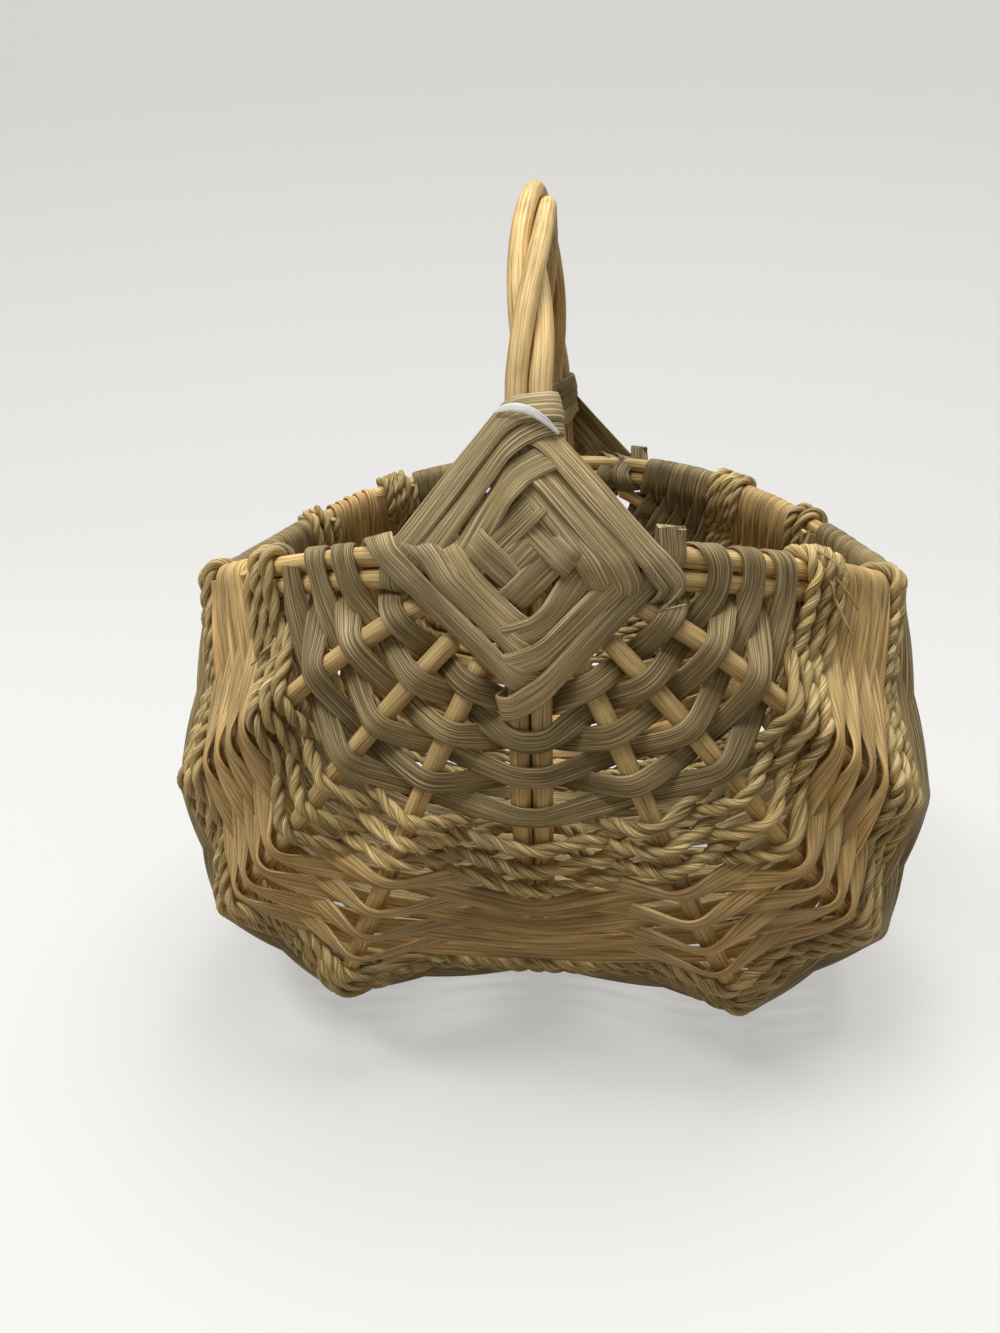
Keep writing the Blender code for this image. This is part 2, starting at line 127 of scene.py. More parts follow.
# How paths are divided
ARCH_POINTS = 1601
TANGENT_REACH = 0.5
TANGENT_MARGIN = 0.6
REED_STEP = 1.5
BEND_STEP = math.radians(9)
GAP_POINTS = 9
CORE_SHARES = np.linspace(-1.0, 1.0, 41)[:, None]
HEADING_ROUNDS = 4

# How a weaver lies: its jitter along a post, its gap to the bar that it bears on, the least share of
# its width that shows where rows crowd, the flattest crossing that it climbs at, and how it eases
ROW_JITTER = 0.3
SEAT_GAPS = (0.08, 0.3)
MIN_LEAN_SHARE = 0.35
FLATTEST_CROSSING = 0.2
STIFFNESS = 0.9
AXIS_EASE = 3.0
TURN_EASE = 1.5

# The turn of a weaver's width in radians at rim, ribs and keel, where it is outside and inside them
FLAT_TILTS = {True: (0.0,) * 5, False: (0.0,) * 5}
TAN_TILTS = {True: (-0.35, 0.40, 0.40, 0.40, -0.50), False: (0.0, -0.10, -0.10, -0.10, 0.0)}

# Irregularities: the share of the size that each changes, and its wavelength
WAVE_COUNT = 4
WAVE_PACES = (0.6, 1.7)
WAVE_PEAK = 2.6
FLAT_SWELL = (0.05, 47.0)
FLAT_CUP = (0.10, 31.0)
PLY_LUMP = (0.14, 19.0)
LAY_DRIFT = (0.25, 60.0)
ROUND_SWELL = (0.022, 70.0)
ROUND_OVAL = (0.02, 90.0)
CLOSED_FADE = 30.0

# Sections: sides, how square flat reed is across and through, how far ends are drawn in, and how
# many samples of a strand make a ring
FLAT_SIDES = 14
FLAT_POWERS = (0.62, 0.75)
TAPERED_TIP = 0.35
ROUND_SIDES = 20
RING_STEP = 2
ROUNDED_END = 0.75
PLY_SIDES = 10
PLY_SHARE = 0.275
PLY_ARM_SHARE = 0.235
PLY_WIDENING = 1.12

# The map that carries the grain, and how far apart two strands lie in it
GRAIN_MAP = "Grain"
MAP_SCALE = 0.1
STRAND_SHIFT = 53.7
SHARP_ANGLE = math.radians(60)


def new_object(name, data):
    made = bpy.data.objects.new(name, data)
    bpy.context.scene.collection.objects.link(made)
    return made


def signed_power(values, exponent):
    return np.sign(values) * np.abs(values) ** exponent


def unit(vectors):
    length = np.linalg.norm(vectors, axis=-1, keepdims=True)
    return vectors / np.maximum(length, 1e-9)


def runs_along(points):
    """The distance along a path at each of its points."""
    steps = np.linalg.norm(np.diff(points, axis=0), axis=1)
    return np.concatenate(([0.0], np.cumsum(steps)))


class Rail:
    """A smooth path that is read by the distance along it."""

    def __init__(self, points):
        self.points = points
        self.runs = runs_along(points)
        self.length = self.runs[-1]

    def at(self, run):
        return np.stack([np.interp(run, self.runs, self.points[:, axis]) for axis in range(3)], axis=-1)

    def tangent(self, run):
        run = np.clip(run, TANGENT_MARGIN, self.length - TANGENT_MARGIN)
        return unit(self.at(run + TANGENT_REACH) - self.at(run - TANGENT_REACH))


def arch_rail(half_length, squareness, place):
    """An arch from the near ear to the far one. place gives x and z for each share of its height."""
    angle = np.linspace(0.0, math.pi, ARCH_POINTS)
    y = -half_length * signed_power(np.cos(angle), 2 / squareness)
    x, z = place(np.maximum(np.sin(angle), 0.0) ** (2 / squareness))
    return Rail(np.stack([x + 0 * y, y, z + 0 * y], axis=1))


def rib_rail(side, index):
    reach, depth = RIB_REACHES[index], RIB_DEPTHS[index]
    size = math.hypot(reach, depth)
    tip = RIB_TIP / size

    def place(share):
        out = tip + (1 - tip) * share
        bow = RIB_BOWS[index] * out * (1 - out) ** 2 / BOW_PEAK
        return side * (reach * out + bow * depth / size), bow * reach / size - depth * out

    return arch_rail(HOOP_HALF_LENGTH - RIB_SETBACKS[index], RIB_SQUARENESS[index], place)


def rim_place(side):
    return lambda share: (side * RIM_HALF_WIDTH * share, -RIM_SAG * share**RIM_SAG_POWER)


RIM = {side: arch_rail(RIM_HALF_LENGTH, RIM_SQUARENESS, rim_place(side)) for side in (-1, 1)}
RIBS = {side: [rib_rail(side, index) for index in range(3)] for side in (-1, 1)}
KEEL = arch_rail(HOOP_HALF_LENGTH, KEEL_SQUARENESS, lambda share: (0.0, -KEEL_DEPTH * share))
HANDLE = arch_rail(HOOP_HALF_LENGTH, HANDLE_SQUARENESS, lambda share: (0.0, HANDLE_RISE * share))


# The level of the ears over the floor, read from the top of the faceted upper rim reed
RIM_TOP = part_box("rim_reed_upper")[1][2] / MM
LIFT = RIM_TOP - PAIR_HALF - REED_RADIUS * math.cos(math.pi / SOLID_REED_SIDES)


def hoop_outward(rail, run):
    out = np.cross(rail.tangent(run), ACROSS)
    facing = np.sum(out * rail.at(run), axis=-1, keepdims=True)
    return out * np.where(facing < 0, -1.0, 1.0)


def crossing_step(distance):
    """How far in the third reed steps at this distance from the ear, to pass behind the rim."""
    share = np.clip((distance - THIRD_REED_FLAT) / THIRD_REED_EASE, 0.0, 1.0)
    return THIRD_REED_STEP * (1 - share * share * (3 - 2 * share))


def hoop_point(rail, run, start_angle, twist):
    """Points of a handle reed, which starts at an angle round the bundle of three and twists on."""
    third = start_angle > math.pi
    inward = crossing_step(np.minimum(run, rail.length - run)) if third else np.zeros_like(run)
    angle = start_angle + twist
    side = (np.cos(angle) * HANDLE_SPREAD)[:, None]
    out = (np.sin(angle) * HANDLE_SPREAD - inward)[:, None]
    return rail.at(run) + side * ACROSS + out * hoop_outward(rail, run)


def twist_angle(run):
    start = HANDLE_REACH + TWIST_MARGIN
    share = np.clip((HANDLE.length - start - run) / (HANDLE.length - 2 * start), 0.0, 1.0)
    turn = 2 * math.pi * share
    return turn + TWIST_BUNCHING * np.sin(turn)


def handle_lean(run):
    return HANDLE_LEAN * np.sin(math.pi * (run / HANDLE.length) ** HANDLE_LEAN_POWER)


def handle_point(run, start_angle):
    run = np.atleast_1d(run)
    return hoop_point(HANDLE, run, start_angle, twist_angle(run)) - handle_lean(run)[:, None] * ACROSS


def keel_point(run, start_angle):
    run = np.atleast_1d(run)
    return hoop_point(KEEL, run, start_angle, np.zeros_like(run))


RIGHT_REED, LEFT_REED, THIRD_REED = (math.radians(30 + 120 * index) for index in range(3))


def wobble(runs, seed, size, wavelength):
    """A smooth, seeded irregularity along a strand, between about -size and size."""
    rng = random.Random(seed)
    waves = [(rng.uniform(*WAVE_PACES), rng.uniform(0, 2 * math.pi)) for _ in range(WAVE_COUNT)]
    total = sum(np.sin(2 * math.pi * pace * runs / wavelength + start) for pace, start in waves)
    return size * (total / WAVE_PEAK)


def smoothed(values, reach):
    """A running Gaussian mean over samples, with the ends held."""
    half = int(math.ceil(3 * reach))
    kernel = np.exp(-0.5 * (np.arange(-half, half + 1) / reach) ** 2)
    kernel /= kernel.sum()
    before = 2 * values[:1] - values[half:0:-1]
    after = 2 * values[-1:] - values[-2 : -half - 2 : -1]
    held = np.concatenate([before, values, after])
    return np.stack([np.convolve(column, kernel, mode="valid") for column in held.T], axis=1)


def resampled(points, extras, step):
    """Points and what goes with them, at even steps along the path."""
    runs = runs_along(points)
    at = np.linspace(0.0, runs[-1], int(runs[-1] / step) + 1)
    columns = np.concatenate([points, extras], axis=1)
    even = np.stack([np.interp(at, runs, column) for column in columns.T], axis=1)
    return at, even[:, :3], even[:, 3:]


class Contact:
    """A strand bears on a round bar here. hand is 1 where the bar is on the strand's left.

    lean is how far the strand's width turns out of the weave in the gap that follows. anchor is
    the share of the bend that lies before the place where the strand is level with the centre.
    """

    def __init__(self, centre, axis, radius, hand, facing=1.0, tilt=0.0):
        self.arrives = centre
        self.leaves = self.arrives
        self.axis = unit(axis)
        self.radius = radius
        self.hand = hand
        self.facing = facing
        self.tilt = tilt
        self.lean = 0.0
        self.anchor = 0.5

    def bearing(self, along):
        """From the bar's centre to the strand, for a strand that runs this way."""
        return -self.hand * self.radius * unit(np.cross(along, self.axis))


def heading_between(first, second):
    """The way a taut strand runs from one bar to the next, where it bears on the skin of both."""
    along = unit(second.arrives - first.leaves)
    for _ in range(HEADING_ROUNDS):
        along = unit(second.arrives + second.bearing(along) - first.leaves - first.bearing(along))
    return along


def bend_points(contact, arriving, leaving):
    """The points of the bend where a strand bears on a bar, climbing along it as it did before."""
    first = contact.bearing(arriving)
    last = contact.bearing(leaving)
    second = np.cross(contact.axis, first) * -contact.hand
    angle = math.atan2(float(last @ second), float(last @ first))
    if angle < -math.pi / 2:
        angle += 2 * math.pi
    steps = max(2, int(abs(angle) / BEND_STEP) + 1)
    shares = np.linspace(0.0, 1.0, steps + 1)[:, None]
    climbs = [float(heading @ contact.axis) for heading in (arriving, leaving)]
    climb = sum(each / math.sqrt(max(1 - each * each, FLATTEST_CROSSING)) for each in climbs) / 2
    slide = climb * contact.radius * abs(angle) * (shares - contact.anchor)
    centres = contact.arrives + (contact.leaves - contact.arrives) * shares + slide * contact.axis
    return centres + np.cos(angle * shares) * first + np.sin(angle * shares) * second


def taut_path(contacts):
    """A strand pulled over its contacts: straight between them, round where it bears.

    Each point goes with its bar's axis and the turn of the strand's width.
    """
    headings = [heading_between(*pair) for pair in zip(contacts, contacts[1:])]
    headings = [headings[0]] + headings + [headings[-1]]
    bends = [bend_points(*facts) for facts in zip(contacts, headings, headings[1:])]
    points, extras = [], []
    for number, (contact, bend) in enumerate(zip(contacts, bends)):
        points.append(bend)
        extras.append(np.tile((*contact.axis, contact.tilt * contact.facing), (len(bend), 1)))
        if contact.lean == 0 or number == len(contacts) - 1:
            continue
        following = contacts[number + 1]
        shares = np.linspace(0.0, 1.0, GAP_POINTS)[1:-1, None]
        points.append(bend[-1] + (bends[number + 1][0] - bend[-1]) * shares)
        axes = contact.axis + (following.axis - contact.axis) * shares
        tilt = contact.tilt + (following.tilt - contact.tilt) * shares
        turn = (tilt + contact.lean * np.sin(math.pi * shares)) * contact.facing
        extras.append(np.concatenate([axes, turn], axis=1))
    return np.concatenate(points), np.concatenate(extras)


class Strand:
    """A path with its own frame: along it, across its width and through its thickness."""

    def __init__(self, points, extras, step=0.5, stiffness=STIFFNESS, ease=4.5):
        runs, points, extras = resampled(points, extras, step)
        axes = unit(smoothed(extras[:, :3], AXIS_EASE / step))
        soft = smoothed(points, ease / step)
        points = points + axes * np.sum((soft - points) * axes, axis=1, keepdims=True)
        points = smoothed(points, stiffness / step)
        self.runs = runs
        self.points = points
        self.along = unit(np.gradient(points, axis=0))
        across = unit(axes - np.sum(axes * self.along, axis=1, keepdims=True) * self.along)
        through = np.cross(self.along, across)
        turn = smoothed(extras[:, 3:], TURN_EASE / step)
        cos, sin = np.cos(turn), np.sin(turn)
        self.across = cos * across + sin * through
        self.through = cos * through - sin * across


class Row:
    """One crossing of the bowl from rim to rim. An A row lies outside the rim, a B row inside it."""

    def __init__(self, kind, places, far=False):
        self.kind = kind
        self.places = places
        self.far = far

    def outside(self, post):
        """Whether the row lies outside a post: 0 is the rim, 1 to 3 are the ribs, 4 is the keel."""
        return (post % 2 == 0) == (self.kind == "A")

    def run(self, post, rail, place):
        """The distance along the post's rail for a place measured from this row's ear."""
        run = place - RIB_TIP if 1 <= post <= 3 else place
        return rail.length - run if self.far else run


def post_length(post):
    """The distance along a post between the ears, which a rib's tips don't quite reach."""
    return (RIM[1], *RIBS[1], KEEL)[post].length + (2 * RIB_TIP if 1 <= post <= 3 else 0)


def pitch_of(rows, index, post):
    """The distance between neighbouring rows at a post."""
    low, high = max(index - 1, 0), min(index + 1, len(rows) - 1)
    first, last = rows[low].places[post], rows[high].places[post]
    if rows[low].far != rows[high].far:
        return (post_length(post) - first - last) / (high - low)
    return abs(last - first) / (high - low)


POSTS = ((-1, 0), (-1, 1), (-1, 2), (-1, 3), (0, 4), (1, 3), (1, 2), (1, 1), (1, 0))


def post_bars(row, side, post, place, heading):
    """The bars that a row bears on at a post, in the order it meets them: centre and axis of each."""
    if post == 0:
        run = row.run(post, RIM[side], place)
        axis = RIM[side].tangent(run)
        low, high = (RIM[side].at(run) + height * UP for height in (-PAIR_HALF, PAIR_HALF))
        return [(high, axis), (low, axis)] if side == -heading else [(low, axis), (high, axis)]
    if post == 4:
        run = row.run(post, KEEL, place)
        reeds = (LEFT_REED, RIGHT_REED)[::heading] if row.outside(post) else (THIRD_REED,)
        return [(keel_point(run, reed)[0], KEEL.tangent(run)) for reed in reeds]
    rail = RIBS[side][post - 1]
    run = row.run(post, rail, place)
    return [(rail.at(run), rail.tangent(run))]


def weaver_contacts(rows, width, thickness, seed, tilts, standoff):
    """The bearings of one weaver that goes to and fro over its rows and turns over the rim at each end."""
    rng = random.Random(seed)
    contacts = []
    heading = 1
    for index, row in enumerate(rows):
        posts = POSTS[::heading]
        for (side, post), (_, following) in zip(posts, posts[1:] + (posts[-1],)):
            place = row.places[post] + rng.uniform(-ROW_JITTER, ROW_JITTER)
            radius = REED_RADIUS + thickness / 2 + rng.uniform(*SEAT_GAPS) + standoff * (1 <= post <= 3)
            hand = heading if row.outside(post) else -heading
            tilt = tilts[row.outside(post)][post] * (-1 if row.far else 1)
            bars = post_bars(row, side, post, place, heading)
            if post == 0 and side == -heading and contacts:
                contacts[-1].leaves = bars[0][0]
                bars = bars[1:]
            contacts += [Contact(*bar, radius, hand, heading, tilt) for bar in bars]
            pitch = (pitch_of(rows, index, post) + pitch_of(rows, index, following)) / 2
            if not (post == 0 and side == heading):
                lean = math.acos(min(1.0, max(pitch / width, MIN_LEAN_SHARE)))
                contacts[-1].lean = lean * (1 if row.far else -1)
        heading = -heading
    return contacts


def woven_strand(rows, width, thickness, seed, stiffness=STIFFNESS, tilts=FLAT_TILTS, standoff=0.0):
    """A weaver over its rows. Where they are closer than it is wide, it leans to its own ear."""
    contacts = weaver_contacts(rows, width, thickness, seed, tilts, standoff)
    return Strand(*taut_path(contacts), stiffness=stiffness)


def spread_rows(first, last, count):
    """Rows at even steps between two borders of a band."""
    rows = []
    for index in range(count):
        share = (index + 0.5) / count
        places = tuple(low + (high - low) * share for low, high in zip(first, last))
        rows.append(Row("BA"[index % 2], places))
    return rows


def middle_rows():
    """The rows of the middle band, from the near border across the middle to the far one."""
    rows = []
    for index in range(MIDDLE_ROWS):
        share = (index + 0.5) / MIDDLE_ROWS
        far = share > 0.5
        places = []
        for post, border in enumerate(BORDERS[-1]):
            place = border + (post_length(post) - 2 * border) * share
            places.append(post_length(post) - place if far else place)
        rows.append(Row("BA"[index % 2], tuple(places), far))
    return rows


class Shape:
    """Faces gathered for one piece, with a map that runs along each strand and across it, in millimetres."""

    def __init__(self):
        self.points, self.tubes, self.ends = [], [], []
        self.count = 0

    def sweep(self, rings, runs, around, closed=False):
        """A tube of faces over rings of points, one ring for each place along a strand."""
        rings = np.asarray(rings)
        length, sides = rings.shape[:2]
        shift = STRAND_SHIFT * len(self.tubes)
        index = self.count + np.arange(length * sides).reshape(length, sides)
        if closed:
            index = np.concatenate([index, index[:1]])
        here, there = index[:-1], index[1:]
        after = np.roll(np.arange(sides), -1)
        quads = np.stack([here, here[:, after], there[:, after], there], axis=2).reshape(-1, 4)
        spots = np.stack(np.meshgrid(runs[: len(here) + 1], around + shift, indexing="ij"), axis=2)
        corners = (spots[:-1, :-1], spots[:-1, 1:], spots[1:, 1:], spots[1:, :-1])
        self.points.append(rings.reshape(-1, 3))
        self.tubes.append((quads, np.stack(corners, axis=2).reshape(-1, 2)))
        if not closed:
            self.ends.append((index[:1, ::-1], spots[0, -2::-1]))
            self.ends.append((index[-1:], spots[-1, :-1]))
        self.count += length * sides

    def piece(self, name, material, node):
        """Makes the object, in place, standing for its solid."""
        mesh = bpy.data.meshes.new(name)
        points = (np.concatenate(self.points) + LIFT * UP) * MM
        parts = self.tubes + self.ends
        loops = np.concatenate([faces.reshape(-1) for faces, _ in parts])
        sizes = np.concatenate([np.full(*faces.shape) for faces, _ in parts])
        spots = np.concatenate([corners for _, corners in parts])
        mesh.vertices.add(len(points))
        mesh.vertices.foreach_set("co", points.astype(np.float32).reshape(-1))
        mesh.loops.add(len(loops))
        mesh.loops.foreach_set("vertex_index", loops.astype(np.int32))
        mesh.polygons.add(len(sizes))
        starts = np.concatenate(([0], np.cumsum(sizes)[:-1]))
        mesh.polygons.foreach_set("loop_start", starts.astype(np.int32))
        mesh.update(calc_edges=True)
        layer = mesh.uv_layers.new(name=GRAIN_MAP)
        layer.uv.foreach_set("vector", (spots * MAP_SCALE).astype(np.float32).reshape(-1))
        mesh.validate()
        mesh.shade_smooth()
        mesh.set_sharp_from_angle(angle=SHARP_ANGLE)
        mesh.materials.append(material)
        made = new_object(name, mesh)
        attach(made, "root")
        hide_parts(node)


def round_angles(sides):
    return 2 * math.pi * np.arange(sides) / sides


def flat_section(width, thickness):
    """The outline of flat oval reed, across and through, with the distance round it."""
    angle = round_angles(FLAT_SIDES)
    across = width / 2 * signed_power(np.cos(angle), FLAT_POWERS[0])
    through = thickness / 2 * signed_power(np.sin(angle), FLAT_POWERS[1])
    outline = np.stack([across, through], axis=1)
    return outline, runs_along(np.concatenate([outline, outline[:1]]))


def rings_round(centres, first, second, out, beside):
    """A ring of points round each centre, so far out along its two directions."""
    return centres[:, None] + out[..., None] * first[:, None] + beside[..., None] * second[:, None]


def add_flat_reed(shape, strand, width, thickness, seed, ring_step=RING_STEP, taper=0.0):
    """Flat oval reed along a strand, a little wider here and narrower there."""
    pick = slice(None, None, ring_step)
    runs = strand.runs[pick]
    outline, around = flat_section(width, thickness)
    swell = 1 + wobble(runs, seed, *FLAT_SWELL)
    cup = thickness * wobble(runs, seed + 1, *FLAT_CUP)
    if taper:
        from_end = np.minimum(runs - runs[0], runs[-1] - runs)
        swell = swell * (TAPERED_TIP + (1 - TAPERED_TIP) * np.sqrt(np.clip(from_end / taper, 0, 1)))
    across = outline[:, 0] * swell[:, None]
    through = outline[:, 1] + cup[:, None] * (1 - (2 * outline[:, 0] / width) ** 2)
    rings = rings_round(strand.points[pick], strand.across[pick], strand.through[pick], across, through)
    shape.sweep(rings, runs, around)


def add_rope(shape, strand, seed):
    """Two plies of seagrass laid round each other, each with its own soft lumps."""
    pick = slice(None, None, RING_STEP)
    runs = strand.runs[pick]
    ply = PLY_SHARE * ROPE_DIAMETER
    arm = PLY_ARM_SHARE * ROPE_DIAMETER
    slope = math.atan(2 * math.pi * arm / ROPE_LAY)
    angle = round_angles(PLY_SIDES)
    turn = 2 * math.pi * (runs / ROPE_LAY + wobble(runs, seed, *LAY_DRIFT))
    for number in range(2):
        lump = ply * (1 + wobble(runs, seed + 7 * number + 1, *PLY_LUMP)[:, None])
        at = turn + math.pi * number
        cos, sin = np.cos(at)[:, None], np.sin(at)[:, None]
        out = cos * strand.across[pick] + sin * strand.through[pick]
        side = cos * strand.through[pick] - sin * strand.across[pick]
        centre = strand.points[pick] + arm * out
        beside = unit(math.cos(slope) * side - math.sin(slope) * strand.along[pick])
        rings = rings_round(centre, out, beside, lump * np.cos(angle), PLY_WIDENING * lump * np.sin(angle))
        shape.sweep(rings, runs, ply * np.append(angle, 2 * math.pi))


def ring_directions(points, reference, closed):
    """Two directions square to a path at each point, the first one as near the reference as can be."""
    if closed:
        along = unit(np.roll(points, -1, axis=0) - np.roll(points, 1, axis=0))
    else:
        along = unit(np.gradient(points, axis=0))
    first = unit(reference - np.sum(reference * along, axis=1, keepdims=True) * along)
    return first, np.cross(along, first)


def add_round_reed(shape, points, reference, radius, seed, closed=False, sides=ROUND_SIDES, ends=0.0):
    """Round reed along points a millimetre or two apart, slightly out of round."""
    first, second = ring_directions(points, reference, closed)
    runs = runs_along(np.concatenate([points, points[:1]]) if closed else points)
    along = runs[: len(points)]
    from_end = np.minimum(along, along[-1] - along)
    fade = np.clip(from_end / CLOSED_FADE, 0.0, 1.0) if closed else 1.0
    size = radius * (1 + wobble(along, seed, *ROUND_SWELL) * fade)
    oval = wobble(along, seed + 1, *ROUND_OVAL) * fade
    angle = round_angles(sides)
    reach = size[:, None] * (1 + oval[:, None] * np.cos(2 * angle))
    if ends:
        drawn_in = ROUNDED_END * (1 - np.clip(from_end / ends, 0.0, 1.0)) ** 2
        reach = reach * np.sqrt(1 - drawn_in)[:, None]
    rings = rings_round(points, first, second, reach * np.cos(angle), reach * np.sin(angle))
    shape.sweep(rings, runs, radius * np.append(angle, 2 * math.pi), closed)


# Loose fibres: how far and which way they bow, each further than the one before
LOOSE_POINTS = 15
LOOSE_SIDES = 6
LOOSE_BOW = 0.9
LOOSE_BOW_GROWTH = 0.4
LOOSE_DIRECTION = np.array((0.6, -0.5, 0.4))
LOOSE_TAPER = 4.0


def add_loose_fibres(shape, root, tips, radius, seed):
    """Thin fibres that have come loose at one place, each bowed out a little on its way to its tip."""
    root = np.array(root)
    share = np.linspace(0.0, 1.0, LOOSE_POINTS)[:, None]
    for number, tip in enumerate(tips):
        bow = LOOSE_BOW * (1 + LOOSE_BOW_GROWTH * number) * np.sin(math.pi * share)
        points = root + (np.array(tip) - root) * share + bow * LOOSE_DIRECTION
        add_round_reed(shape, points, AHEAD, radius, seed + number, sides=LOOSE_SIDES, ends=LOOSE_TAPER)


def handle_hoop_points(start_angle):
    """One handle reed: under the bowl from the near ear to the far one, then back over the handle."""
    below = np.arange(0.0, KEEL.length, REED_STEP)
    above = np.arange(HANDLE.length, 0.0, -REED_STEP)
    return np.concatenate([keel_point(below, start_angle), handle_point(above, start_angle)])


def rim_hoop_points(height):
    """One rim reed: round the left side from the near ear to the far one, then back round the right."""
    out = np.arange(0.0, RIM[1].length, REED_STEP)
    return np.concatenate([RIM[-1].at(out), RIM[1].at(RIM[1].length - out)]) + height * UP


def add_reeds(honey):
    """The three handle reeds, the two rim reeds and the six ribs."""
    for number, start_angle in enumerate((RIGHT_REED, LEFT_REED, THIRD_REED), 1):
        shape = Shape()
        points = handle_hoop_points(start_angle)
        add_round_reed(shape, points, ACROSS, REED_RADIUS, seed=number, closed=True)
        shape.piece(f"grained_handle_reed_{number}", honey, f"handle_reed_{number}")
    for name, height, seed in (("upper", PAIR_HALF, 13), ("lower", -PAIR_HALF, 9)):
        shape = Shape()
        add_round_reed(shape, rim_hoop_points(height), UP, REED_RADIUS, seed, closed=True)
        shape.piece(f"grained_rim_reed_{name}", honey, f"rim_reed_{name}")
    for side, side_name in ((-1, "left"), (1, "right")):
        for index, level in enumerate(("upper", "middle", "lower")):
            rail = RIBS[side][index]
            slope = math.atan2(RIB_DEPTHS[index], RIB_REACHES[index])
            plane = np.array((math.sin(slope), 0.0, side * math.cos(slope)))
            shape = Shape()
            points = rail.at(np.linspace(0.0, rail.length, int(rail.length / REED_STEP)))
            add_round_reed(shape, points, plane, REED_RADIUS, seed=20 + 3 * side + index, ends=RIB_ROUNDING)
            shape.piece(f"grained_rib_{side_name}_{level}", honey, f"rib_{side_name}_{level}")


# The lashing runs from arm to arm, named as the near one is seen from outside. Each turn has the
# distances out along them, where the strand comes and where it leaves. The first of all is unused.
ARMS = ("right", "top", "left", "bottom")
LASHING_TURNS = (
    ((15.5, 15.5), (19.0, 22.0), (16.8, 15.5), (13.7, 13.0)),
    ((13.3, 21.4), (24.2, 29.8), (26.5, 20.3), (18.8, 19.8)),
    ((22.6, 29.3), (31.0, 34.8), (33.2, 29.0), (26.4, 28.2)),
)
LASHING_TIP_TAPER = 1.6
# Under the turns the rim arms are padded, most at the crossing and no more at this distance
ARM_PADDING = 5.2
ARM_PADDING_REACH = 29.0
# Where the strand ends: its last wrap, and its tab's distance, its way outward and its height
LASHING_END = 29.0
LASHING_TAB = (31.6, 3.0, 8.0)
# How high the strand lies on the two bars of an arm, in thicknesses of reed, and its tilt in radians
COMING_LEVELS = (1.2, 0.25)
LEAVING_LEVELS = (1.5, 2.1)
TUCK_LEVELS = (1.9, 2.3)
BACK_LEVEL = 0.6
LASHING_TILT = 0.23
# How much of its slope the strand keeps on the bar beside the bend, and its shift behind the arm
WRAP_STEP = 0.3
LAST_WRAP_STEP = -0.4
WRAP_SHIFT = 1.0
# The short strips in the middle: their centre, how far out they lie and reach, their levels and
# steps in thicknesses, and how far their ends dip and how late
CORE_CENTRE = np.array((-1.0, 0.0, 4.6))
CORE_DISTANCE = 5.7
CORE_REACH = 9.6
CORE_LEVEL = 0.9
CORE_STEP = 0.7
CORE_DIP, CORE_DIP_POWER = 1.5, 8
KNOT_REACH = 6.0
KNOT_LEVEL = 0.5
KNOT_DIP = 1.5


class Arm:
    """One arm of the crossing, as the strand of a lashing meets it."""

    def __init__(self, name, far):
        self.name = name
        self.far = far
        self.hand = -1 if far else 1
        self.rail = {"right": RIM[1], "left": RIM[-1], "top": HANDLE, "bottom": KEEL}[name]
        self.upright = name in ("top", "bottom")

    def bars(self, run):
        """The centres of its two bars, as the strand meets them, and of the reed behind upright ones."""
        if self.upright:
            point = handle_point if self.name == "top" else keel_point
            bars = [point(run, reed)[0] for reed in (RIGHT_REED, LEFT_REED, THIRD_REED)]
        else:
            bars = [self.rail.at(run) + height * UP for height in (-PAIR_HALF, PAIR_HALF)]
        if self.name in ("left", "bottom"):
            bars[:2] = bars[1::-1]
        return bars

    def bear(self, which, level, distance):
        """The strand bears on one of the bars, this far out along the arm."""
        run = self.rail.length - distance if self.far else distance
        centre = self.bars(run)[which]
        if not self.upright:
            padding = ARM_PADDING * max(0.0, 1 - distance / ARM_PADDING_REACH)
            centre = centre - padding * self.hand * AHEAD
        radius = REED_RADIUS + level * SMOKED_THICKNESS
        outward = self.rail.tangent(run) * self.hand
        return Contact(centre, outward, radius, self.hand, tilt=LASHING_TILT * self.hand)

    def crossing(self, distance, slope, levels, wrap_step=1.0):
        """Over both bars, outward on the way in and inward on the way out, with the bend beside them."""
        step = slope * PAIR_HALF
        inward = slope < 0
        first = self.bear(0, levels[0], distance - step * (wrap_step if inward else 1.0))
        second = self.bear(1, levels[1], distance + step * (1.0 if inward else wrap_step))
        if inward:
            first.anchor = 1.0
        else:
            second.anchor = 0.0
        return [first, second]


